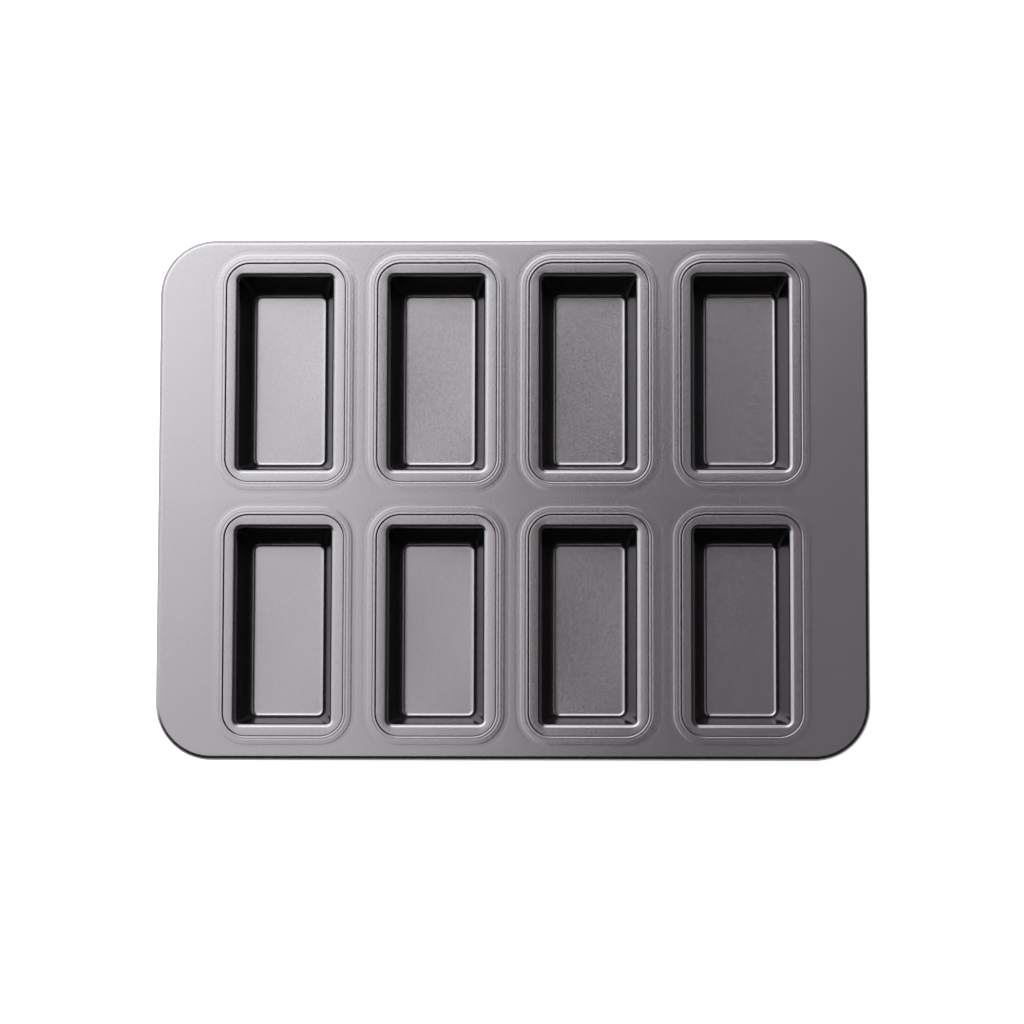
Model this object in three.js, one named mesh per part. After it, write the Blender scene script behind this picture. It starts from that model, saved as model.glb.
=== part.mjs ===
// A mini loaf pan: drawn loaf cups whose flanges are lapped and roller-welded under the
// openings of one pressed deck panel. The panel's outer edge is rolled round a wire.
// Millimetres, +Z up. The origin is on the table under the middle of the pan,
// +X runs along the long side and +Y towards the back row of cups.

import * as THREE from "three";

// Cup: the inside of one loaf cup and its sheet
const MOUTH_WIDTH = 50.0; // across the cup, where the wall meets the lip
const MOUTH_LENGTH = 104.3; // along the cup, at the same height
const MOUTH_CORNER = 2.2; // corner in plan at the top of the wall
const FLOOR_CORNER = 1.2; // corner in plan at the edge of the flat floor
const CUP_DEPTH = 33.0; // flange top to floor top
const WALL_DRAFT = 9.5; // degrees that the wall leans out
const FLOOR_FILLET = 2.3; // between floor and wall
const LIP_RADIUS = 2.6; // between wall and flange
const FLANGE_WIDTH = 4.5; // flat ring between lip and seam
const CUP_SHEET = 0.5; // thickness

// Seam: the panel's opening laps over the cup's flange, inside a slightly raised band
const SEAM_CORNER = 12.5; // corner in plan at the edge of the opening
const SEAM_LAP = 3.4; // how far the flange reaches under the panel
const SEAM_GAP = 0.2; // between flange and panel
const EDGE_ROUND = 0.5; // on the upper edge of the opening
const BAND_WIDTH = 4.0; // level top of the band
const BAND_FOOT = 1.9; // slope from the band to the deck
const BAND_RISE = 0.1; // height of the band above the deck

// Deck: the flat land left between the seams and out to the rim
const COLUMNS = 4;
const ROW_NAMES = ["back", "front"];
const COLUMN_LAND = 9.55; // between bands side by side
const ROW_LAND = 10.05; // between bands end to end
const GRIP_LAND = 31.92; // from the end bands to the pan's left and right edges
const EDGE_LAND = 8.75; // from the bands to the pan's front and back edges
const PAN_CORNER = 30.0; // corner in plan at the pan's outline
const PANEL_SHEET = 0.6; // thickness

// Rim: the rolled edge and the wire inside it
const WIRE_DIAMETER = 3.0;
const WIRE_GAP = 0.3; // between wire and roll
const ROLL_GAP = 1.0; // left open between the end of the roll and the deck above it

// Facets
const CORNER_STEPS = 4; // along a cup's or seam's corner in plan
const RIM_CORNER_STEPS = 8; // along the pan's corner in plan
const BEND_STEPS = 2; // round a fillet or an edge
const LIP_STEPS = 5; // round the lip
const ROLL_STEPS = 9; // round the rim's roll
const WIRE_SIDES = 8;

// Finishes
const COATING = { color: 0x76737a, roughness: 0.4, metalness: 0.9 };
const WIRE_STEEL = { color: 0xa3a3a0, roughness: 0.35, metalness: 1.0 };

// Lip, wall and floor of the cup. Places across the wall are measured outwards
// from the mouth, and heights up from the table.
const draft = THREE.MathUtils.degToRad(WALL_DRAFT);
const floorTop = CUP_SHEET;
const flangeTop = floorTop + CUP_DEPTH;
const lipEnd = LIP_RADIUS * Math.cos(draft);
const wallTop = flangeTop - LIP_RADIUS * (1 - Math.sin(draft));
const wallFoot = floorTop + FLOOR_FILLET * (1 - Math.sin(draft));
const wallFootOut = -(wallTop - wallFoot) * Math.tan(draft);
const floorEdge = wallFootOut - FLOOR_FILLET * Math.cos(draft);

// Seam, from the flange upwards
const seamStart = lipEnd + FLANGE_WIDTH;
const flangeEnd = seamStart + SEAM_LAP;
const bandEnd = seamStart + BAND_WIDTH;
const bandUnder = flangeTop + SEAM_GAP;
const bandTop = bandUnder + PANEL_SHEET;
const deckTop = bandTop - BAND_RISE;

// Rim roll, with the wire at its middle
const rollInside = WIRE_DIAMETER / 2 + WIRE_GAP;
const roll = rollInside + PANEL_SHEET;
const rollMiddle = deckTop - roll;
const rollEnd = THREE.MathUtils.radToDeg(Math.asin((rollInside - ROLL_GAP) / roll));
const rollTurn = 270 + rollEnd;

// Plan of the pan
const columnPitch = MOUTH_WIDTH + 2 * bandEnd + COLUMN_LAND;
const rowPitch = MOUTH_LENGTH + 2 * bandEnd + ROW_LAND;
const panLength = COLUMNS * columnPitch - COLUMN_LAND + 2 * GRIP_LAND;
const panWidth = ROW_NAMES.length * rowPitch - ROW_LAND + 2 * EDGE_LAND;

// One ring of a section: how far out it lies, how high, and its corner in plan.
function station(out, up, corner) {
  return { out, up, corner };
}

// Stations along an arc of the section, between two angles in degrees.
function arcStations(middle, radius, from, to, steps, cornerAt) {
  const start = THREE.MathUtils.degToRad(from);
  const end = THREE.MathUtils.degToRad(to);
  const curve = new THREE.EllipseCurve(middle.out, middle.up, radius, radius, start, end, end < start);
  return curve.getPoints(steps).map((p) => station(p.x, p.y, cornerAt(p.x)));
}

// A rounded rectangle at one height, anticlockwise seen from above.
function planRing(halfLength, halfWidth, corner, up, steps) {
  const x = halfLength - corner;
  const y = halfWidth - corner;
  const middles = [[x, y], [-x, y], [-x, -y], [x, -y]];
  return middles.flatMap(([middleX, middleY], quarter) => {
    const start = (quarter * Math.PI) / 2;
    const curve = new THREE.EllipseCurve(middleX, middleY, corner, corner, start, start + Math.PI / 2);
    return curve.getPoints(steps).map((p) => new THREE.Vector3(p.x, p.y, up));
  });
}

// A closed sheet-metal surface put together from rings of points.
class SheetSurface {
  points = [];
  triangles = [];

  ring(points) {
    const indices = points.map((_, i) => this.points.length + i);
    this.points.push(...points);
    return indices;
  }

  // Joins two rings. Going outwards, the surface faces up.
  bridge(from, to) {
    from.forEach((_, i) => {
      const next = (i + 1) % from.length;
      this.triangles.push(from[i], to[i], to[next], from[i], to[next], from[next]);
    });
  }

  // Sweeps a section round a rounded rectangle and returns its rings.
  sweep(section, { halfLength, halfWidth, x = 0, y = 0, steps }) {
    const rings = section.map(({ out, up, corner }) => {
      const points = planRing(halfLength + out, halfWidth + out, corner, up, steps);
      return this.ring(points.map((p) => p.add(new THREE.Vector3(x, y, 0))));
    });
    rings.slice(1).forEach((ring, i) => this.bridge(rings[i], ring));
    return rings;
  }

  // Fills a flat outline, less its holes, facing up or down.
  face(outline, holes, facesUp) {
    const flat = (ring) => ring.map((i) => new THREE.Vector2(this.points[i].x, this.points[i].y));
    const all = [outline, ...holes].flat();
    for (const [a, b, c] of THREE.ShapeUtils.triangulateShape(flat(outline), holes.map(flat))) {
      const corners = [a, b, c].map((i) => all[i]);
      const anticlockwise = !THREE.ShapeUtils.isClockWise(flat(corners));
      this.triangles.push(...(anticlockwise === facesUp ? corners : corners.reverse()));
    }
  }

  geometry() {
    const made = new THREE.BufferGeometry().setFromPoints(this.points).setIndex(this.triangles);
    made.computeVertexNormals();
    return made;
  }
}

// Section of a cup: up the inside from the floor, out along the flange, and back underneath.
function cupSection() {
  const fillet = { out: floorEdge, up: floorTop + FLOOR_FILLET };
  const lip = { out: lipEnd, up: flangeTop - LIP_RADIUS };
  const upright = 180 - WALL_DRAFT;
  const atFloor = (out) => FLOOR_CORNER + out - floorEdge;
  const atMouth = (out) => MOUTH_CORNER + out;
  const flangeCorner = SEAM_CORNER + SEAM_LAP;
  return [
    ...arcStations(fillet, FLOOR_FILLET, -90, -WALL_DRAFT, BEND_STEPS, atFloor),
    ...arcStations(lip, LIP_RADIUS, upright, 90, LIP_STEPS, atMouth),
    station(flangeEnd, flangeTop, flangeCorner),
    station(flangeEnd, flangeTop - CUP_SHEET, flangeCorner),
    ...arcStations(lip, LIP_RADIUS - CUP_SHEET, 90, upright, LIP_STEPS, atMouth),
    ...arcStations(fillet, FLOOR_FILLET + CUP_SHEET, -WALL_DRAFT, -90, BEND_STEPS, atFloor),
  ];
}

// Section of an opening in the panel: inwards underneath, up its edge, and back on top.
function openingSection() {
  const foot = bandEnd + BAND_FOOT;
  const edge = { out: seamStart + EDGE_ROUND, up: bandTop - EDGE_ROUND };
  const atSeam = (out) => SEAM_CORNER + out - seamStart;
  return [
    station(foot, deckTop - PANEL_SHEET, atSeam(foot)),
    station(bandEnd, bandUnder, atSeam(bandEnd)),
    station(seamStart, bandUnder, SEAM_CORNER),
    ...arcStations(edge, EDGE_ROUND, 180, 90, BEND_STEPS, atSeam),
    station(bandEnd, bandTop, atSeam(bandEnd)),
    station(foot, deckTop, atSeam(foot)),
  ];
}

// Section of the rolled rim: out over the top, round the wire, and back along the inside.
function rimSection() {
  const middle = { out: -roll, up: rollMiddle };
  const atRim = (out) => PAN_CORNER + out;
  return [
    ...arcStations(middle, roll, 90, 90 - rollTurn, ROLL_STEPS, atRim),
    ...arcStations(middle, rollInside, 90 - rollTurn, 90, ROLL_STEPS, atRim),
  ];
}

// Middles of the cups, from the left, the back row first.
function cupPlaces() {
  return ROW_NAMES.flatMap((rowName, row) =>
    Array.from({ length: COLUMNS }, (_, column) => ({
      name: `loaf_cup_${rowName}_${column + 1}`,
      row,
      x: (column - (COLUMNS - 1) / 2) * columnPitch,
      y: ((ROW_NAMES.length - 1) / 2 - row) * rowPitch,
    })),
  );
}

function cupGeometry() {
  const surface = new SheetSurface();
  const rings = surface.sweep(cupSection(), {
    halfLength: MOUTH_WIDTH / 2,
    halfWidth: MOUTH_LENGTH / 2,
    steps: CORNER_STEPS,
  });
  surface.face(rings.at(0), [], true);
  surface.face(rings.at(-1), [], false);
  return surface.geometry();
}

function panelGeometry() {
  const surface = new SheetSurface();
  const rim = surface.sweep(rimSection(), {
    halfLength: panLength / 2,
    halfWidth: panWidth / 2,
    steps: RIM_CORNER_STEPS,
  });
  const openings = cupPlaces().map(({ x, y }) =>
    surface.sweep(openingSection(), {
      halfLength: MOUTH_WIDTH / 2,
      halfWidth: MOUTH_LENGTH / 2,
      x,
      y,
      steps: CORNER_STEPS,
    }),
  );
  surface.face(rim.at(0), openings.map((rings) => rings.at(-1)), true);
  surface.face(rim.at(-1), openings.map((rings) => rings.at(0)), false);
  return surface.geometry();
}

function wireGeometry() {
  const surface = new SheetSurface();
  const middle = { out: -roll, up: rollMiddle };
  const round = arcStations(middle, WIRE_DIAMETER / 2, 180, -180, WIRE_SIDES, (out) => PAN_CORNER + out);
  const rings = surface.sweep(round.slice(0, WIRE_SIDES), {
    halfLength: panLength / 2,
    halfWidth: panWidth / 2,
    steps: RIM_CORNER_STEPS,
  });
  surface.bridge(rings.at(-1), rings.at(0));
  return surface.geometry();
}

function part(name, geometry, finish) {
  const mesh = new THREE.Mesh(geometry, new THREE.MeshStandardMaterial(finish));
  mesh.name = name;
  return mesh;
}

// The cups, in a group for each row.
function cupRows() {
  const geometry = cupGeometry();
  const rows = ROW_NAMES.map(() => new THREE.Group());
  for (const { name, row, x, y } of cupPlaces()) {
    const cup = part(name, geometry, COATING);
    cup.position.x = x;
    rows[row].position.y = y;
    rows[row].add(cup);
  }
  return rows;
}

const pan = new THREE.Group();
pan.add(part("deck_panel", panelGeometry(), COATING));
pan.add(part("rim_wire", wireGeometry(), WIRE_STEEL));
pan.add(...cupRows());

export default pan;
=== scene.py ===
"""Looks of the mini loaf pan: satin non-stick sheet steel on a pale studio floor.

Sizes are in metres, in the frame of the CAD part: +X along the pan's long side, +Y towards
the back row of cups and +Z up from the table.
"""

import logging
import math
from collections.abc import Callable, Sequence
from dataclasses import dataclass
from enum import Enum
from functools import cached_property

import bpy
from mathutils import Euler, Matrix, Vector
from mathutils.geometry import tessellate_polygon


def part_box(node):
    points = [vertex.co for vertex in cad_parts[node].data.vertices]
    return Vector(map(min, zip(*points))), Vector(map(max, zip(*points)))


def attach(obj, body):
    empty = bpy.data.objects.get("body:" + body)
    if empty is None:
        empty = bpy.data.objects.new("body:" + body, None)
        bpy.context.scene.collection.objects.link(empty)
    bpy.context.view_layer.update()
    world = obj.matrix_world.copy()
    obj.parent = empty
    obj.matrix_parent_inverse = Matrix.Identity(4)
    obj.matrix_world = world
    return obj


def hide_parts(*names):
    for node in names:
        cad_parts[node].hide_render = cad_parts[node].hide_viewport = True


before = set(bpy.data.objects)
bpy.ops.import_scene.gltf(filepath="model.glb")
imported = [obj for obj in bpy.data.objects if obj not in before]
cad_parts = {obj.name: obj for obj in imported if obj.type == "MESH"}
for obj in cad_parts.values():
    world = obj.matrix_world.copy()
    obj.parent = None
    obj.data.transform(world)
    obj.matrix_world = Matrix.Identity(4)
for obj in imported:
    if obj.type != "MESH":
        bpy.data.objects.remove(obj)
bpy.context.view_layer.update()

MM = 0.001
BODY = "root"
CUPS_PER_ROW = 4
LAMP_HEIGHT = 2.2
COOL_WHITE = (0.985, 1.0, 1.0)
log = logging.getLogger("loaf_pan")


class Facing(Enum):
    """Which way a flat face of the sheet looks."""

    UP = 1
    DOWN = -1


class Row(Enum):
    """The rows of cups, by their place in the node names."""

    BACK = "back"
    FRONT = "front"


@dataclass(frozen=True)
class Station:
    """One ring of a section that is swept round a rounded rectangle.

    Attributes:
        out: Distance outwards from the rectangle's sides.
        up: Height above the table.
        corner: Corner radius of the ring in plan.
        bow: How far the middle of each side swells outwards.
    """

    out: float
    up: float
    corner: float
    bow: float = 0.0


Section = list[Station]
Colour = tuple[float, float, float]
CornerRule = Callable[[float], float]


def arc(
    middle: tuple[float, float], radius: float, start: float, end: float, steps: int, corner_at: CornerRule
) -> Section:
    """Makes the stations along an arc of a section.

    Args:
        middle: The arc's middle, out and up.
        radius: The arc's radius.
        start: Angle of the first station in degrees, from outwards towards up.
        end: Angle of the last station in degrees.
        steps: How many steps the arc has.
        corner_at: Gives the corner radius in plan at a distance out.

    Returns:
        The stations, from start to end.
    """
    stations = []
    for step in range(steps + 1):
        angle = math.radians(start + (end - start) * step / steps)
        out = middle[0] + radius * math.cos(angle)
        stations.append(Station(out, middle[1] + radius * math.sin(angle), corner_at(out)))
    return stations


def smooth(share: float) -> float:
    """Eases a share from 0 to 1 with level ends."""
    held = min(max(share, 0.0), 1.0)
    return held * held * (3.0 - 2.0 * held)


def spaced(start: float, end: float, steps: int) -> list[float]:
    """Lists the values after a start, in even steps up to an end."""
    return [start + (end - start) * step / steps for step in range(1, steps + 1)]


@dataclass(frozen=True)
class Plan:
    """The rounded rectangle that a section is swept round.

    Attributes:
        x: Middle along the pan.
        y: Middle across the pan.
        half_x: Half its size along X.
        half_y: Half its size along Y.
        corner_steps: Steps round each corner.
        side_steps: Steps along each straight side.
    """

    x: float
    y: float
    half_x: float
    half_y: float
    corner_steps: int
    side_steps: int

    def ring(self, station: Station) -> list[Vector]:
        """Makes one ring, anticlockwise seen from above.

        Args:
            station: The ring's place in the section.

        Returns:
            The ring's points.
        """
        reach_x = self.half_x + station.out - station.corner
        reach_y = self.half_y + station.out - station.corner
        points = []
        for quarter, (sign_x, sign_y) in enumerate(((1, 1), (-1, 1), (-1, -1), (1, -1))):
            middle = Vector((self.x + sign_x * reach_x, self.y + sign_y * reach_y, station.up))
            for step in range(self.corner_steps + 1):
                angle = (quarter + step / self.corner_steps) * math.pi / 2
                points.append(middle + station.corner * Vector((math.cos(angle), math.sin(angle), 0.0)))
            points.extend(self._side(points[-1], quarter, station, reach_x, reach_y))
        return points

    def _side(
        self, start: Vector, quarter: int, station: Station, reach_x: float, reach_y: float
    ) -> list[Vector]:
        """Makes the points inside the straight side that follows a corner.

        Args:
            start: The corner's last point.
            quarter: Which corner it is, from 0.
            station: The ring's place in the section.
            reach_x: Half the straight length along X.
            reach_y: Half the straight length along Y.

        Returns:
            The points between this corner and the next.
        """
        along = (Vector((-1, 0, 0)), Vector((0, -1, 0)), Vector((1, 0, 0)), Vector((0, 1, 0)))[quarter]
        outwards = Vector((along.y, -along.x, 0.0))
        length = 2.0 * (reach_x if quarter % 2 == 0 else reach_y)
        points = []
        for step in range(1, self.side_steps):
            share = step / self.side_steps
            swell = station.bow * math.sin(math.pi * share) ** 2
            points.append(start + along * (length * share) + outwards * swell)
        return points


class RingMesh:
    """A closed mesh put together from rings of points."""

    SHARP_ANGLE = math.radians(50.0)

    def __init__(self) -> None:
        """Starts with no points and no faces."""
        self.points: list[Vector] = []
        self.faces: list[tuple[int, ...]] = []

    def sweep(self, section: Section, plan: Plan) -> list[list[int]]:
        """Sweeps a section round a plan. Going outwards, the surface faces up.

        Args:
            section: The stations, in order.
            plan: The rounded rectangle.

        Returns:
            The point numbers of each ring.
        """
        rings = []
        for station in section:
            first = len(self.points)
            self.points.extend(plan.ring(station))
            rings.append(list(range(first, len(self.points))))
        for one, other in zip(rings, rings[1:]):
            self.bridge(one, other)
        return rings

    def bridge(self, one: Sequence[int], other: Sequence[int]) -> None:
        """Joins two rings with quads.

        Args:
            one: Point numbers of the first ring.
            other: Point numbers of the second, as many.
        """
        count = len(one)
        for i in range(count):
            after = (i + 1) % count
            self.faces.append((one[i], other[i], other[after], one[after]))

    def close(self, ring: Sequence[int], back: int, cap: int) -> None:
        """Closes a ring that mirrors itself left and right with rungs across it, facing up.

        Args:
            ring: Point numbers of the ring.
            back: Place in the ring of the middle of its back side.
            cap: Points to either side of the back's and the front's middle that one face closes.
        """
        turned = [*ring[back:], *ring[:back]]
        half = len(turned) // 2
        self.faces.append((*turned[-cap:], *turned[: cap + 1]))
        self.faces.append(tuple(turned[half - cap : half + cap + 1]))
        for step in range(cap, half - cap):
            self.faces.append((turned[-step - 1], turned[-step], turned[step], turned[step + 1]))

    def fill(self, outline: Sequence[int], holes: Sequence[Sequence[int]], facing: Facing) -> None:
        """Fills a flat outline, less its holes.

        Args:
            outline: Point numbers of the outer ring.
            holes: Point numbers of each hole's ring.
            facing: Which way the face looks.
        """
        loops = [outline, *holes]
        numbers = [number for loop in loops for number in loop]
        flat = [[Vector((self.points[n].x, self.points[n].y, 0.0)) for n in loop] for loop in loops]
        for triangle in tessellate_polygon(flat):
            a, b, c = (numbers[i] for i in triangle)
            turn = (self.points[b] - self.points[a]).cross(self.points[c] - self.points[a]).z
            self.faces.append((a, b, c) if turn * facing.value > 0 else (a, c, b))

    def to_object(self, name: str) -> bpy.types.Object:
        """Makes the Blender object, smooth but for its cut edges.

        Args:
            name: The object's name.

        Returns:
            The new object, in the scene.
        """
        mesh = bpy.data.meshes.new(name)
        mesh.from_pydata(self.points, [], self.faces)
        mesh.validate()
        mesh.shade_smooth()
        mesh.set_sharp_from_angle(angle=self.SHARP_ANGLE)
        made = bpy.data.objects.new(name, mesh)
        bpy.context.scene.collection.objects.link(made)
        return made


class NodeGraph:
    """A material's shader nodes, with short ways to add them.

    Most of a noise value lies between NOISE_LOW and NOISE_HIGH.
    """

    NOISE_LOW = 0.3
    NOISE_HIGH = 0.7

    def __init__(self, name: str) -> None:
        """Makes an empty node material.

        Args:
            name: The material's name.
        """
        self.material = bpy.data.materials.new(name)
        self.material.use_nodes = True
        self.tree = self.material.node_tree
        self.tree.nodes.clear()

    def add(self, kind: str, **settings: object) -> bpy.types.Node:
        """Adds a node and sets its properties.

        Args:
            kind: The node's type name, without ShaderNode.
            **settings: Properties of the node.

        Returns:
            The node.
        """
        node = self.tree.nodes.new(f"ShaderNode{kind}")
        for key, value in settings.items():
            setattr(node, key, value)
        return node

    def link(self, source: bpy.types.NodeSocket, target: bpy.types.NodeSocket) -> None:
        """Links two sockets."""
        self.tree.links.new(source, target)

    def noise(self, where: bpy.types.NodeSocket, size: float, detail: float) -> bpy.types.NodeSocket:
        """Adds a noise texture.

        Args:
            where: Coordinates in metres.
            size: Size of the pattern in metres.
            detail: Octaves of finer noise.

        Returns:
            The noise value, about 0.5 on average.
        """
        node = self.add("TexNoise")
        self.link(where, node.inputs["Vector"])
        node.inputs["Scale"].default_value = 1.0 / size
        node.inputs["Detail"].default_value = detail
        return node.outputs["Fac"]

    def spread(self, value: bpy.types.NodeSocket, low: float, high: float) -> bpy.types.NodeSocket:
        """Maps the middle of a noise value onto a range, which its rare ends may leave.

        Args:
            value: A noise value.
            low: What a low value gives.
            high: What a high value gives.

        Returns:
            The mapped value.
        """
        node = self.add("MapRange", clamp=False)
        self.link(value, node.inputs["Value"])
        node.inputs["From Min"].default_value = self.NOISE_LOW
        node.inputs["From Max"].default_value = self.NOISE_HIGH
        node.inputs["To Min"].default_value = low
        node.inputs["To Max"].default_value = high
        return node.outputs["Result"]

    def math(
        self, operation: str, one: bpy.types.NodeSocket, other: bpy.types.NodeSocket
    ) -> bpy.types.NodeSocket:
        """Adds a math node.

        Args:
            operation: Name of the operation.
            one: First value.
            other: Second value.

        Returns:
            The result.
        """
        node = self.add("Math", operation=operation)
        self.link(one, node.inputs[0])
        self.link(other, node.inputs[1])
        return node.outputs["Value"]

    def blend(self, factor: bpy.types.NodeSocket, one: Colour, other: Colour) -> bpy.types.NodeSocket:
        """Blends two colours.

        Args:
            factor: How much of the second colour there is.
            one: First colour.
            other: Second colour.

        Returns:
            The blended colour.
        """
        node = self.add("Mix", data_type="RGBA")
        self.link(factor, node.inputs["Factor"])
        node.inputs["A"].default_value = (*one, 1.0)
        node.inputs["B"].default_value = (*other, 1.0)
        return node.outputs["Result"]

    def finished(self, surface: bpy.types.NodeSocket) -> bpy.types.Material:
        """Gives the material its surface.

        Args:
            surface: The surface's shader.

        Returns:
            The finished material.
        """
        node = self.add("OutputMaterial")
        self.link(surface, node.inputs["Surface"])
        return self.material


@dataclass(frozen=True)
class NonStickCoat:
    """Satin graphite coating with a fine metallic fleck, sprayed on sheet steel.

    Attributes:
        name: The material's name.
        dark: Colour of the coat between flecks.
        light: Colour of the flecks.
        smoothest: Roughness of the coat between flecks.
        roughest: Roughness of the flecks.
        edge_tint: Share of the usual mirror that is left at a grazing angle.
        fleck_size: Size of the flecks.
        fleck_share: Share of the colour's change that the flecks give, the patches giving the rest.
        cloud_size: Size of the spray's uneven patches.
        peel_size: Size of the coat's orange peel.
        peel_height: Height of the orange peel.
        clear: Share of the surface under the coat's clear binder.
        clear_roughness: Roughness of that binder.
    """

    name: str
    dark: Colour = (0.245, 0.236, 0.248)
    light: Colour = (0.275, 0.264, 0.277)
    smoothest: float = 0.209
    roughest: float = 0.241
    edge_tint: float = 0.3
    fleck_size: float = 0.9 * MM
    fleck_share: float = 0.8
    cloud_size: float = 45.0 * MM
    peel_size: float = 1.1 * MM
    peel_height: float = 0.013 * MM
    clear: float = 0.1
    clear_roughness: float = 0.15

    FINE_DETAIL = 1.0
    CLOUD_DETAIL = 3.0

    def material(self) -> bpy.types.Material:
        """Makes the coat's node material.

        Returns:
            The material.
        """
        graph = NodeGraph(self.name)
        where = graph.add("TexCoord").outputs["Object"]
        fleck = graph.noise(where, self.fleck_size, self.FINE_DETAIL)
        cloud = graph.noise(where, self.cloud_size, self.CLOUD_DETAIL)
        peel = graph.noise(where, self.peel_size, self.FINE_DETAIL)
        flecks = graph.spread(fleck, 0.0, self.fleck_share)
        patches = graph.spread(cloud, 0.0, 1.0 - self.fleck_share)
        colour = graph.blend(graph.math("ADD", flecks, patches), self.dark, self.light)
        bump = graph.add("Bump")
        bump.inputs["Strength"].default_value = 1.0
        bump.inputs["Distance"].default_value = self.peel_height
        graph.link(peel, bump.inputs["Height"])
        shader = graph.add("BsdfPrincipled")
        shader.inputs["Metallic"].default_value = 1.0
        shader.inputs["Specular Tint"].default_value = (self.edge_tint,) * 3 + (1.0,)
        shader.inputs["Coat Weight"].default_value = self.clear
        shader.inputs["Coat Roughness"].default_value = self.clear_roughness
        graph.link(colour, shader.inputs["Base Color"])
        graph.link(graph.spread(fleck, self.smoothest, self.roughest), shader.inputs["Roughness"])
        graph.link(bump.outputs["Normal"], shader.inputs["Normal"])
        return graph.finished(shader.outputs["BSDF"])


@dataclass(frozen=True)
class DrawnWire:
    """Bare drawn steel wire with fine lines from its die.

    Attributes:
        name: The material's name.
        dark: Colour in the lines.
        light: Colour between them.
        smoothest: Least roughness.
        roughest: Most roughness.
        streak_size: Size of the lines.
    """

    name: str
    dark: Colour = (0.36, 0.35, 0.34)
    light: Colour = (0.56, 0.55, 0.53)
    smoothest: float = 0.28
    roughest: float = 0.42
    streak_size: float = 0.4 * MM

    STREAK_DETAIL = 3.0

    def material(self) -> bpy.types.Material:
        """Makes the wire's node material.

        Returns:
            The material.
        """
        graph = NodeGraph(self.name)
        where = graph.add("TexCoord").outputs["Object"]
        streak = graph.noise(where, self.streak_size, self.STREAK_DETAIL)
        shader = graph.add("BsdfPrincipled")
        shader.inputs["Metallic"].default_value = 1.0
        graph.link(graph.blend(streak, self.dark, self.light), shader.inputs["Base Color"])
        graph.link(graph.spread(streak, self.smoothest, self.roughest), shader.inputs["Roughness"])
        return graph.finished(shader.outputs["BSDF"])


@dataclass(frozen=True)
class LapSeam:
    """The lap where a cup's flange is welded under the deck, inside a low band.

    Distances out are measured from the cup's mouth.

    Attributes:
        start: Edge of the deck's opening.
        flange_top: Height of the cup's flange.
        corner: Corner in plan at the edge of the opening.
        lap: How far the flange reaches under the deck.
        gap: Clearance between the sheets.
        panel_sheet: Thickness of the deck.
        nose_width: How far the opening's rounded edge reaches out.
        nose_drop: How far that edge curves down.
        band_width: Level top of the band.
        band_foot: Slope from the band to the deck.
        band_rise: Height of the band above the deck.
    """

    start: float
    flange_top: float
    corner: float = 12.5 * MM
    lap: float = 3.4 * MM
    gap: float = 0.2 * MM
    panel_sheet: float = 0.6 * MM
    nose_width: float = 0.65 * MM
    nose_drop: float = 0.6 * MM
    band_width: float = 3.7 * MM
    band_foot: float = 1.4 * MM
    band_rise: float = 0.09 * MM

    @property
    def flange_end(self) -> float:
        """Outer edge of the cup's flange."""
        return self.start + self.lap

    @property
    def band_end(self) -> float:
        """Outer edge of the band's level top."""
        return self.start + self.band_width

    @property
    def foot_end(self) -> float:
        """Where the band's slope runs into the deck."""
        return self.band_end + self.band_foot

    @property
    def band_top(self) -> float:
        """Height of the band."""
        return self.flange_top + self.gap + self.panel_sheet

    @property
    def deck_top(self) -> float:
        """Height of the deck round the band."""
        return self.band_top - self.band_rise

    def corner_at(self, out: float) -> float:
        """Gives the corner radius in plan at a distance out."""
        return self.corner + out - self.start


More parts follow.
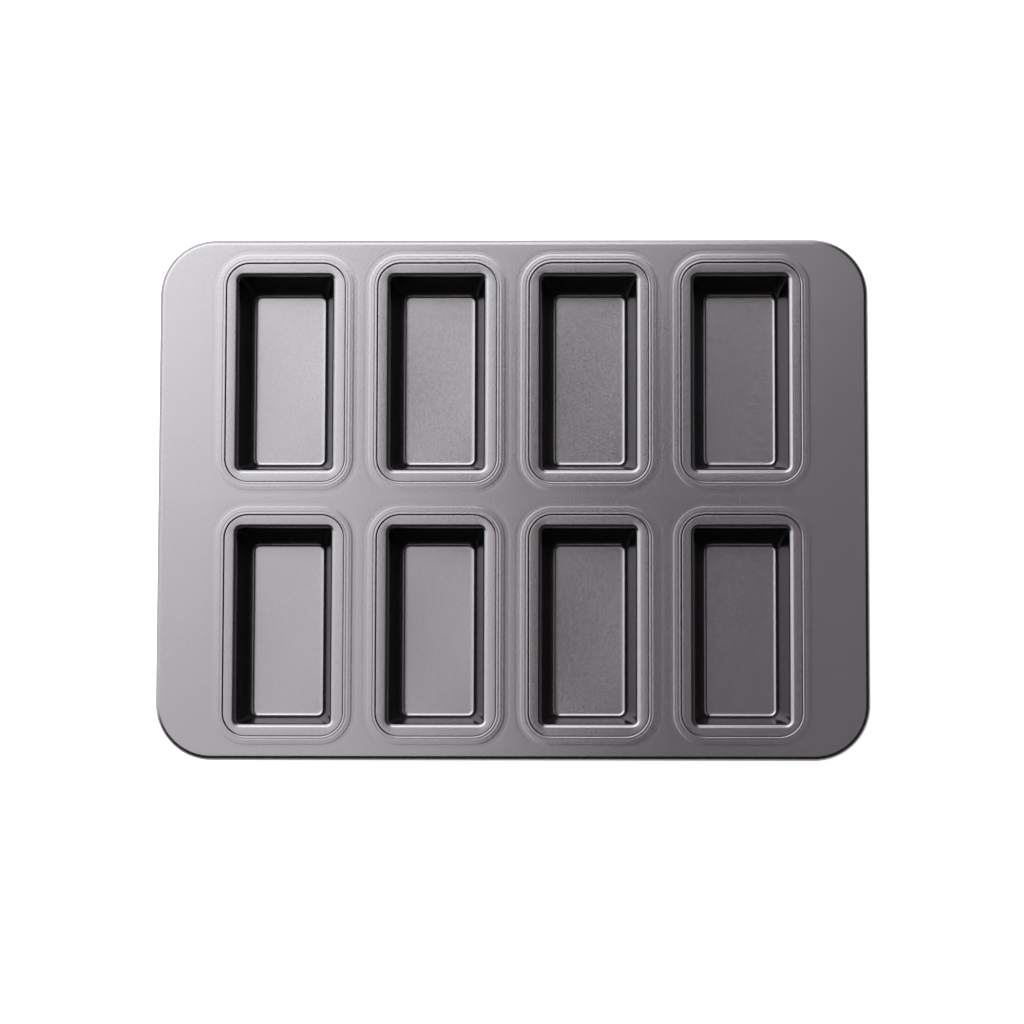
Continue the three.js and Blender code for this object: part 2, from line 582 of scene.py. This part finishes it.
@dataclass
class LoafCup:
    """One drawn loaf cup with its flange.

    Attributes:
        node: The CAD node that the cup stands for.
        mouth_width: Across the cup, where the wall meets the lip.
        mouth_length: Along the cup, at the same height.
        mouth_corner: Corner in plan at the top of the wall.
        floor_corner: Corner in plan at the edge of the flat floor.
        depth: Flange top to floor top.
        draft: Degrees that the wall leans out.
        floor_fillet: Radius between floor and wall.
        lip_radius: Radius between wall and flange.
        flange_width: Nearly flat ring between lip and seam.
        flange_slope: Degrees that the flange falls where it meets the lip.
        edge_roll: Drop of the flange where it runs in under the deck.
        edge_width: Width of that drop.
        sheet: Thickness.
        floor_dish: Dip of the floor's middle, left by the press.
        wall_bow: Swell of the walls at half height.
    """

    node: str
    mouth_width: float = 50.0 * MM
    mouth_length: float = 104.3 * MM
    mouth_corner: float = 2.2 * MM
    floor_corner: float = 2.0 * MM
    depth: float = 33.0 * MM
    draft: float = 9.5
    floor_fillet: float = 2.3 * MM
    lip_radius: float = 2.6 * MM
    flange_width: float = 4.5 * MM
    flange_slope: float = 2.5
    edge_roll: float = 0.1 * MM
    edge_width: float = 0.5 * MM
    sheet: float = 0.5 * MM
    floor_dish: float = 0.13 * MM
    wall_bow: float = 0.15 * MM

    CORNER_STEPS = 14
    SIDE_STEPS = 10
    BEND_STEPS = 10
    LIP_STEPS = 16
    FLANGE_STEPS = 10
    EDGE_STEPS = 6
    WALL_STEPS = 8
    FLOOR_STEPS = 8

    @cached_property
    def centre(self) -> Vector:
        """Middle of the cup in plan, from its CAD node."""
        low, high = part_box(self.node)
        return (low + high) / 2

    @property
    def lean(self) -> float:
        """The wall's draft in radians."""
        return math.radians(self.draft)

    @property
    def slope(self) -> float:
        """The flange's slope at the lip in radians."""
        return math.radians(self.flange_slope)

    @property
    def flange_top(self) -> float:
        """Height of the flange beside the seam."""
        return self.sheet + self.depth

    @cached_property
    def seam(self) -> LapSeam:
        """The seam that holds this cup."""
        return LapSeam(self.lip_radius * math.cos(self.lean) + self.flange_width, self.flange_top)

    @property
    def lip_middle(self) -> tuple[float, float]:
        """Middle of the lip's arc, out from the mouth and up."""
        out = self.lip_radius * math.cos(self.lean)
        return out, self.flange_top - self.flange_fall - self.lip_radius * math.cos(self.slope)

    @property
    def lip_end(self) -> float:
        """Where the lip runs into the flange, out from the mouth."""
        return self.lip_radius * (math.cos(self.lean) - math.sin(self.slope))

    @property
    def flange_fall(self) -> float:
        """How much lower the flange is at the lip than at the seam."""
        return math.tan(self.slope) * (self.seam.start - self.lip_end) / 2

    @property
    def wall_top(self) -> float:
        """Height of the top of the wall."""
        return self.lip_middle[1] + self.lip_radius * math.sin(self.lean)

    @property
    def wall_foot(self) -> float:
        """Height of the foot of the wall."""
        return self.sheet + self.floor_fillet * (1 - math.sin(self.lean))

    @property
    def floor_edge(self) -> float:
        """Edge of the flat floor, out from the mouth."""
        rise = self.wall_top - self.wall_foot
        return -rise * math.tan(self.lean) - self.floor_fillet * math.cos(self.lean)

    def plan(self, corner_steps: int, side_steps: int) -> Plan:
        """Gives the cup's mouth in plan.

        Args:
            corner_steps: Steps round each corner.
            side_steps: Steps along each straight side.

        Returns:
            The mouth, where the wall meets the lip.
        """
        return Plan(
            self.centre.x, self.centre.y, self.mouth_width / 2, self.mouth_length / 2,
            corner_steps, side_steps,
        )

    def _floor(self, up: float) -> Section:
        """Makes the stations of the flat floor, from its middle to its edge.

        The first lies half a step out, so that the middle is wide enough to close, and the corners
        inside the floor are half as round as at its edge.

        Args:
            up: Height of the floor.

        Returns:
            The stations, without the one at the edge.
        """
        across = self.mouth_width / 2 + self.floor_edge
        stations = []
        for step in range(self.FLOOR_STEPS):
            out = (step + 0.5) / self.FLOOR_STEPS * across - self.mouth_width / 2
            stations.append(Station(out, up, self.floor_corner / 2))
        return stations

    def _dip(self, point: Vector) -> float:
        """Gives the dip of the floor that the press leaves at a point.

        Args:
            point: A point of the floor.

        Returns:
            The dip, none at the floor's edge.
        """
        across = (point.x - self.centre.x) / (self.mouth_width / 2 + self.floor_edge)
        along = (point.y - self.centre.y) / (self.mouth_length / 2 + self.floor_edge)
        return self.floor_dish * max(1 - across**2, 0.0) * max(1 - along**2, 0.0)

    def _wall(self, foot: Station, top: Station) -> Section:
        """Makes the stations between the foot and the top of the wall.

        Args:
            foot: The last station of the floor's fillet.
            top: The first station of the lip.

        Returns:
            The stations between them.
        """
        stations = []
        for step in range(1, self.WALL_STEPS):
            share = step / self.WALL_STEPS
            stations.append(
                Station(
                    foot.out + (top.out - foot.out) * share,
                    foot.up + (top.up - foot.up) * share,
                    foot.corner + (top.corner - foot.corner) * share,
                    self.wall_bow * math.sin(math.pi * share),
                )
            )
        return stations

    def _flange(self, offset: float) -> Section:
        """Makes the stations of the flange, from the lip to its outer edge.

        Args:
            offset: Depth below the upper face of the sheet.

        Returns:
            The stations, without the one at the lip.
        """
        start = self.lip_end
        inner = self.mouth_corner + start
        edge = self.seam.start - self.edge_width
        level = spaced(start, edge, self.FLANGE_STEPS)
        stations = []
        for out in (*level, *spaced(edge, self.seam.start, self.EDGE_STEPS), self.seam.flange_end):
            share = min((out - start) / (self.seam.start - start), 1.0)
            roll = min(max((out - edge) / self.edge_width, 0.0), 1.0)
            drop = self.flange_fall * (1 - share) ** 2 + self.edge_roll * roll**2
            corner = inner + (self.seam.corner - inner) * share + max(out - self.seam.start, 0.0)
            stations.append(Station(out, self.flange_top - drop - offset, corner))
        return stations

    def _side(self, offset: float) -> Section:
        """Makes one side of the sheet, from the floor's middle to the flange's edge.

        Args:
            offset: Zero for the inside, or the sheet's thickness for the underside.

        Returns:
            The stations.
        """
        fillet = arc(
            (self.floor_edge, self.sheet + self.floor_fillet), self.floor_fillet + offset,
            -90.0, -self.draft, self.BEND_STEPS, lambda out: self.floor_corner + out - self.floor_edge,
        )
        lip = arc(
            self.lip_middle, self.lip_radius - offset, 180.0 - self.draft, 90.0 + self.flange_slope,
            self.LIP_STEPS, lambda out: self.mouth_corner + out,
        )
        floor = self._floor(self.sheet - offset)
        return [*floor, *fillet, *self._wall(fillet[-1], lip[0]), *lip, *self._flange(offset)]

    def section(self) -> Section:
        """Makes the cup's section: up the inside, round the flange and back underneath."""
        return [*self._side(0.0), *reversed(self._side(self.sheet))]

    def build(self) -> bpy.types.Object:
        """Builds the cup's mesh in place of its CAD node.

        Returns:
            The cup.
        """
        sheet = RingMesh()
        rings = sheet.sweep(self.section(), self.plan(self.CORNER_STEPS, self.SIDE_STEPS))
        for ring in rings[: self.FLOOR_STEPS]:
            for number in ring:
                sheet.points[number].z -= self._dip(sheet.points[number])
        back = self.CORNER_STEPS + self.SIDE_STEPS // 2
        sheet.close(rings[0], back, (self.CORNER_STEPS + self.SIDE_STEPS) // 2)
        sheet.fill(rings[-1], [], Facing.DOWN)
        made = sheet.to_object(f"{self.node}_drawn")
        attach(made, BODY)
        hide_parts(self.node)
        return made

    def dress(self, made: bpy.types.Object, coat: bpy.types.Material) -> None:
        """Gives the cup its coat.

        Args:
            made: The cup.
            coat: The coat's material.
        """
        made.data.materials.append(coat)


@dataclass
class DeckPanel:
    """The pressed deck with its seam bands and its rolled rim.

    Attributes:
        node: The CAD node that the deck stands for.
        cups: The cups that are welded under it.
        corner: Corner in plan at the pan's outline.
        roll: Outer radius of the rolled rim.
        roll_gap: Left open between the end of the roll and the deck.
        rim_land: Width of the level strip just inside the roll.
        shoulder_start: Where the band's top steps down, out from the seam's edge.
        shoulder_width: Width of that step.
        shoulder_share: Its share of the band's rise.
        gutter_width: Width of the shallow dish round each band.
        gutter_depth: Depth of that dish.
        line_place: Where the welding roller left its line, out from the seam's edge.
        line_depth: Depth of the line.
        line_width: Width of the line.
    """

    node: str
    cups: list[LoafCup]
    corner: float = 30.0 * MM
    roll: float = 2.4 * MM
    roll_gap: float = 1.0 * MM
    rim_land: float = 0.6 * MM
    shoulder_start: float = 2.4 * MM
    shoulder_width: float = 1.2 * MM
    shoulder_share: float = 0.3
    gutter_width: float = 2.8 * MM
    gutter_depth: float = 0.012 * MM
    line_place: float = 1.6 * MM
    line_depth: float = 0.028 * MM
    line_width: float = 1.2 * MM

    CORNER_STEPS = 14
    SIDE_STEPS = 4
    RIM_CORNER_STEPS = 28
    RIM_SIDE_STEPS = 8
    BEND_STEPS = 10
    ROLL_STEPS = 36
    BAND_STEPS = 34
    FOOT_STEPS = 10
    GUTTER_STEPS = 8

    @property
    def seam(self) -> LapSeam:
        """The seam round every cup."""
        return self.cups[0].seam

    def _relief(self, out: float) -> float:
        """Gives the sheet's rise above the plain deck near a cup.

        Args:
            out: Distance out from the cup's mouth.

        Returns:
            The rise of the band, its shoulder and its foot, or of the dish round it.
        """
        seam = self.seam
        if out <= seam.foot_end:
            shoulder = smooth((out - seam.start - self.shoulder_start) / self.shoulder_width)
            foot = smooth((out - seam.band_end) / seam.band_foot)
            return seam.band_rise * (1 - foot + self.shoulder_share * (foot - shoulder))
        return -self.gutter_depth * math.sin(math.pi * (out - seam.foot_end) / self.gutter_width) ** 2

    def _line(self, out: float) -> float:
        """Gives the depth of the roller's line at a distance out from the mouth."""
        away = abs(out - self.seam.start - self.line_place)
        return self.line_depth * (1 - smooth(2 * away / self.line_width))

    def _nose(self) -> Section:
        """Makes the rounded edge of an opening, from its foot to the band.

        Returns:
            The stations.
        """
        seam = self.seam
        stations = []
        for step in range(self.BEND_STEPS + 1):
            angle = math.pi / 2 * step / self.BEND_STEPS
            out = seam.start + seam.nose_width * (1 - math.cos(angle))
            up = seam.band_top - seam.nose_drop * (1 - math.sin(angle))
            stations.append(Station(out, up, seam.corner_at(out)))
        return stations

    def opening_section(self) -> Section:
        """Makes an opening's section: in under the band, up its edge and back on top.

        Returns:
            The stations, from the deck's underside to its top.
        """
        seam = self.seam
        inner = seam.start + seam.nose_width
        slope = [
            *spaced(seam.band_end, seam.foot_end, self.FOOT_STEPS),
            *spaced(seam.foot_end, seam.foot_end + self.gutter_width, self.GUTTER_STEPS),
        ]
        band = spaced(inner, seam.band_end, self.BAND_STEPS)
        under = [
            Station(out, seam.deck_top - seam.panel_sheet + self._relief(out), seam.corner_at(out))
            for out in (seam.start, seam.band_end, *slope)
        ]
        top = [
            Station(out, seam.deck_top + self._relief(out) - self._line(out), seam.corner_at(out))
            for out in (*band, *slope)
        ]
        return [*reversed(under), *self._nose(), *top]

    def rim_section(self) -> Section:
        """Makes the rolled rim's section: out over the top, round and back inside.

        Returns:
            The stations, from the deck's top to its underside.
        """
        sheet = self.seam.panel_sheet
        middle = (-self.roll, self.seam.deck_top - self.roll)
        inside = self.roll - sheet
        end = -180.0 - math.degrees(math.asin((inside - self.roll_gap) / self.roll))
        outer = arc(middle, self.roll, 90.0, end, self.ROLL_STEPS, lambda out: self.corner + out)
        inner = arc(middle, inside, end, 90.0, self.ROLL_STEPS, lambda out: self.corner + out)
        edge = -self.roll - self.rim_land
        land = Station(edge, self.seam.deck_top, self.corner + edge)
        return [land, *outer, *inner]

    def build(self) -> bpy.types.Object:
        """Builds the deck's mesh in place of its CAD node.

        Returns:
            The deck.
        """
        low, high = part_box(self.node)
        half = (high - low) / 2
        outline = Plan(0.0, 0.0, half.x, half.y, self.RIM_CORNER_STEPS, self.RIM_SIDE_STEPS)
        sheet = RingMesh()
        rim = sheet.sweep(self.rim_section(), outline)
        section = self.opening_section()
        mouths = [cup.plan(self.CORNER_STEPS, self.SIDE_STEPS) for cup in self.cups]
        openings = [sheet.sweep(section, mouth) for mouth in mouths]
        sheet.fill(rim[0], [rings[-1] for rings in openings], Facing.UP)
        sheet.fill(rim[-1], [rings[0] for rings in openings], Facing.DOWN)
        made = sheet.to_object(f"{self.node}_pressed")
        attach(made, BODY)
        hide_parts(self.node)
        return made

    def dress(self, made: bpy.types.Object, coat: bpy.types.Material) -> None:
        """Gives the deck its coat.

        Args:
            made: The deck.
            coat: The coat's material.
        """
        made.data.materials.append(coat)


@dataclass
class RimWire:
    """The stiffening wire inside the rolled rim.

    Attributes:
        node: The CAD node that the wire stands for.
        deck: The deck whose roll holds it.
    """

    node: str
    deck: DeckPanel

    CORNER_STEPS = 28
    SIDE_STEPS = 8
    ROUND_STEPS = 20

    def build(self) -> bpy.types.Object:
        """Builds the wire's loop in place of its CAD node.

        Returns:
            The wire.
        """
        low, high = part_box(self.node)
        radius = (high.z - low.z) / 2
        half = (high - low) / 2
        corner = self.deck.corner - self.deck.roll + radius
        round_section = arc(
            (-radius, low.z + radius), radius, 180.0, -180.0, self.ROUND_STEPS, lambda out: corner + out
        )[:-1]
        outline = Plan(0.0, 0.0, half.x, half.y, self.CORNER_STEPS, self.SIDE_STEPS)
        wire = RingMesh()
        rings = wire.sweep(round_section, outline)
        wire.bridge(rings[-1], rings[0])
        made = wire.to_object(f"{self.node}_loop")
        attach(made, BODY)
        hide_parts(self.node)
        return made

    def dress(self, made: bpy.types.Object, steel: bpy.types.Material) -> None:
        """Gives the wire its bare steel.

        Args:
            made: The wire.
            steel: The steel's material.
        """
        made.data.materials.append(steel)


class Hang(Enum):
    """Which way a studio lamp faces, as its turn in degrees."""

    DOWN = (0.0, 0.0, 0.0)
    FORWARD = (-90.0, 0.0, 0.0)
    RIGHT = (0.0, -90.0, 0.0)


@dataclass(frozen=True)
class SoftBox:
    """A flat rectangular studio lamp.

    Attributes:
        name: The lamp's name.
        low: Its left, front and lower corner.
        high: Its right, back and upper corner.
        radiance: How bright its face is, where 1 is white.
        tint: Colour of its light.
        hang: Which way it faces.
    """

    name: str
    low: tuple[float, float, float]
    high: tuple[float, float, float]
    radiance: float
    tint: Colour = COOL_WHITE
    hang: Hang = Hang.DOWN

    @classmethod
    def overhead(
        cls, name: str, low: tuple[float, float], high: tuple[float, float], radiance: float,
        tint: Colour = COOL_WHITE,
    ) -> "SoftBox":
        """Describes a lamp that hangs level over the pan.

        Args:
            name: The lamp's name.
            low: Its left and front edges.
            high: Its right and back edges.
            radiance: How bright its face is, where 1 is white.
            tint: Colour of its light.

        Returns:
            The lamp's description.
        """
        return cls(name, (*low, LAMP_HEIGHT), (*high, LAMP_HEIGHT), radiance, tint)

    def build(self) -> bpy.types.Object:
        """Makes the lamp.

        Returns:
            The lamp, which the camera doesn't see.
        """
        span = Vector(self.high) - Vector(self.low)
        data = bpy.data.lights.new(self.name, "AREA")
        data.shape = "RECTANGLE"
        data.size = span.z if self.hang is Hang.RIGHT else span.x
        data.size_y = span.z if self.hang is Hang.FORWARD else span.y
        data.energy = math.pi * data.size * data.size_y * self.radiance
        data.color = self.tint
        lamp = bpy.data.objects.new(self.name, data)
        lamp.location = (Vector(self.low) + Vector(self.high)) / 2
        lamp.rotation_euler = [math.radians(angle) for angle in self.hang.value]
        lamp.visible_camera = False
        bpy.context.scene.collection.objects.link(lamp)
        return lamp


@dataclass(frozen=True)
class StudioCamera:
    """A long lens that looks down on the pan, a little from the front and the right.

    Attributes:
        aim_up: Height of the point that it looks at.
        aim_along: Where along the pan that point is.
        aim_across: Where across the pan that point is.
        distance: From that point to the camera.
        lean_front: Degrees that it leans towards the front.
        lean_right: Degrees that it leans towards the right.
        lens: Focal length in millimetres.
        sensor: Width of its sensor in millimetres.
        reach: How far it sees.
    """

    aim_up: float
    aim_along: float = -0.4 * MM
    aim_across: float = -7.4 * MM
    distance: float = 2.113
    lean_front: float = 6.02
    lean_right: float = 1.49
    lens: float = 138.8
    sensor: float = 36.0
    reach: float = 100.0

    def build(self) -> bpy.types.Object:
        """Makes the camera and gives it to the scene.

        Returns:
            The camera.
        """
        data = bpy.data.cameras.new("camera")
        data.lens = self.lens
        data.sensor_width = self.sensor
        data.clip_end = self.reach
        camera = bpy.data.objects.new("camera", data)
        turn = Euler((math.radians(self.lean_front), math.radians(self.lean_right), 0.0), "YXZ")
        camera.rotation_mode = "YXZ"
        camera.rotation_euler = turn
        aim = Vector((self.aim_along, self.aim_across, self.aim_up))
        camera.location = aim + turn.to_matrix() @ Vector((0.0, 0.0, self.distance))
        bpy.context.scene.collection.objects.link(camera)
        bpy.context.scene.camera = camera
        return camera


@dataclass
class Studio:
    """The pale floor, the lamps, the dim room and the camera.

    Attributes:
        deck_top: Height of the pan's deck.
        floor_size: Side of the floor.
        floor_tone: How much light the floor reflects.
        near_glow: Floor glow beside the pan that lifts it to white.
        far_glow: Floor glow where the lamps no longer reach.
        glow_start: Distance from the pan where the glow starts to rise.
        glow_end: Distance from the pan where it is full.
        room: Brightness of the room, from the floor's edge upwards, each after the sine of its height.
        lamps: The soft boxes over the pan, behind it and on its left.
    """

    deck_top: float
    floor_size: float = 60.0
    floor_tone: float = 0.8
    near_glow: float = 0.95
    far_glow: float = 1.0
    glow_start: float = 0.4
    glow_end: float = 2.0
    room: tuple[tuple[float, float], ...] = ((0.0, 0.03), (0.55, 0.1), (0.85, 0.0))
    lamps: tuple[SoftBox, ...] = (
        SoftBox.overhead("front_box", (-5.0, -0.4), (-0.05, 0.22), 1.58, (1.02, 1.0, 1.0)),
        SoftBox.overhead("middle_box", (-5.0, 0.22), (-0.25, 0.58), 2.62),
        SoftBox.overhead("back_box", (-3.2, 0.58), (0.17, 3.5), 3.8),
        SoftBox.overhead("strip_box", (-0.38, -0.4), (-0.1, 0.42), 1.5, (1.08, 1.0, 1.02)),
        SoftBox.overhead("fill_box", (0.2, -0.4), (0.6, 3.5), 0.45, (1.09, 1.0, 1.08)),
        SoftBox("back_wall", (-4.0, 4.0, 0.0), (1.5, 4.0, 2.0), 2.0, hang=Hang.FORWARD),
        SoftBox("left_wall", (-5.0, -1.0, 0.0), (-5.0, 4.0, 2.0), 2.0, hang=Hang.RIGHT),
    )

    def floor_material(self) -> bpy.types.Material:
        """Makes the floor's material: white paper that the background shows as white.

        Returns:
            The material.
        """
        graph = NodeGraph("pale_floor")
        paper = graph.add("BsdfDiffuse")
        paper.inputs["Color"].default_value = (self.floor_tone,) * 3 + (1.0,)
        where = graph.add("NewGeometry")
        away = graph.add("VectorMath", operation="LENGTH")
        graph.link(where.outputs["Position"], away.inputs[0])
        rise = graph.add("MapRange", interpolation_type="SMOOTHSTEP")
        graph.link(away.outputs["Value"], rise.inputs["Value"])
        rise.inputs["From Min"].default_value = self.glow_start
        rise.inputs["From Max"].default_value = self.glow_end
        rise.inputs["To Min"].default_value = self.near_glow
        rise.inputs["To Max"].default_value = self.far_glow
        path = graph.add("LightPath")
        seen = graph.math("MAXIMUM", path.outputs["Is Camera Ray"], path.outputs["Is Glossy Ray"])
        seen = graph.math("MAXIMUM", seen, path.outputs["Is Transmission Ray"])
        glow = graph.add("Emission")
        graph.link(graph.math("MULTIPLY", seen, rise.outputs["Result"]), glow.inputs["Strength"])
        lit = graph.add("AddShader")
        graph.link(paper.outputs["BSDF"], lit.inputs[0])
        graph.link(glow.outputs["Emission"], lit.inputs[1])
        clear = graph.add("BsdfTransparent")
        one_sided = graph.add("MixShader")
        graph.link(where.outputs["Backfacing"], one_sided.inputs["Fac"])
        graph.link(lit.outputs["Shader"], one_sided.inputs[1])
        graph.link(clear.outputs["BSDF"], one_sided.inputs[2])
        return graph.finished(one_sided.outputs["Shader"])

    def build_floor(self) -> bpy.types.Object:
        """Makes the floor that the pan stands on.

        Returns:
            The floor.
        """
        half = self.floor_size / 2
        corners = [(-half, -half, 0.0), (half, -half, 0.0), (half, half, 0.0), (-half, half, 0.0)]
        mesh = bpy.data.meshes.new("studio_floor")
        mesh.from_pydata(corners, [], [(0, 1, 2, 3)])
        mesh.materials.append(self.floor_material())
        floor = bpy.data.objects.new("studio_floor", mesh)
        bpy.context.scene.collection.objects.link(floor)
        return floor

    def build_room(self) -> None:
        """Makes the dim room round the pan, lightest at half height and dark overhead."""
        world = bpy.data.worlds.new("room")
        world.use_nodes = True
        tree = world.node_tree
        direction = tree.nodes.new("ShaderNodeTexCoord")
        parts = tree.nodes.new("ShaderNodeSeparateXYZ")
        tones = tree.nodes.new("ShaderNodeValToRGB")
        tree.links.new(direction.outputs["Generated"], parts.inputs["Vector"])
        tree.links.new(parts.outputs["Z"], tones.inputs["Fac"])
        tones.color_ramp.interpolation = "EASE"
        tones.color_ramp.elements.remove(tones.color_ramp.elements[-1])
        for number, (height, tone) in enumerate(self.room):
            steps = tones.color_ramp.elements
            step = steps[0] if number == 0 else steps.new(height)
            step.position = height
            step.color = (tone, tone, tone, 1.0)
        tree.links.new(tones.outputs["Color"], tree.nodes["Background"].inputs["Color"])
        bpy.context.scene.world = world

    def build(self) -> None:
        """Makes the whole studio."""
        bpy.context.scene.view_settings.view_transform = "Standard"
        self.build_floor()
        self.build_room()
        for lamp in self.lamps:
            lamp.build()
        StudioCamera(self.deck_top).build()


def main() -> None:
    """Builds the pan's pieces and the studio, in order."""
    logging.basicConfig(level=logging.INFO, format="%(name)s: %(message)s")
    columns = range(1, CUPS_PER_ROW + 1)
    cups = [LoafCup(f"loaf_cup_{row.value}_{column}") for row in Row for column in columns]
    deck = DeckPanel("deck_panel", cups)
    wire = RimWire("rim_wire", deck)
    deck_coat = NonStickCoat("deck_coat").material()
    cup_coat = NonStickCoat("cup_coat").material()
    steel = DrawnWire("wire_steel").material()

    Studio(deck.seam.deck_top).build()
    for piece, finish in ((deck, deck_coat), (wire, steel), *((cup, cup_coat) for cup in cups)):
        made = piece.build()
        piece.dress(made, finish)
        log.info("%s: %d faces, rides on %s", made.name, len(made.data.polygons), BODY)


if __name__ == "__main__":
    main()
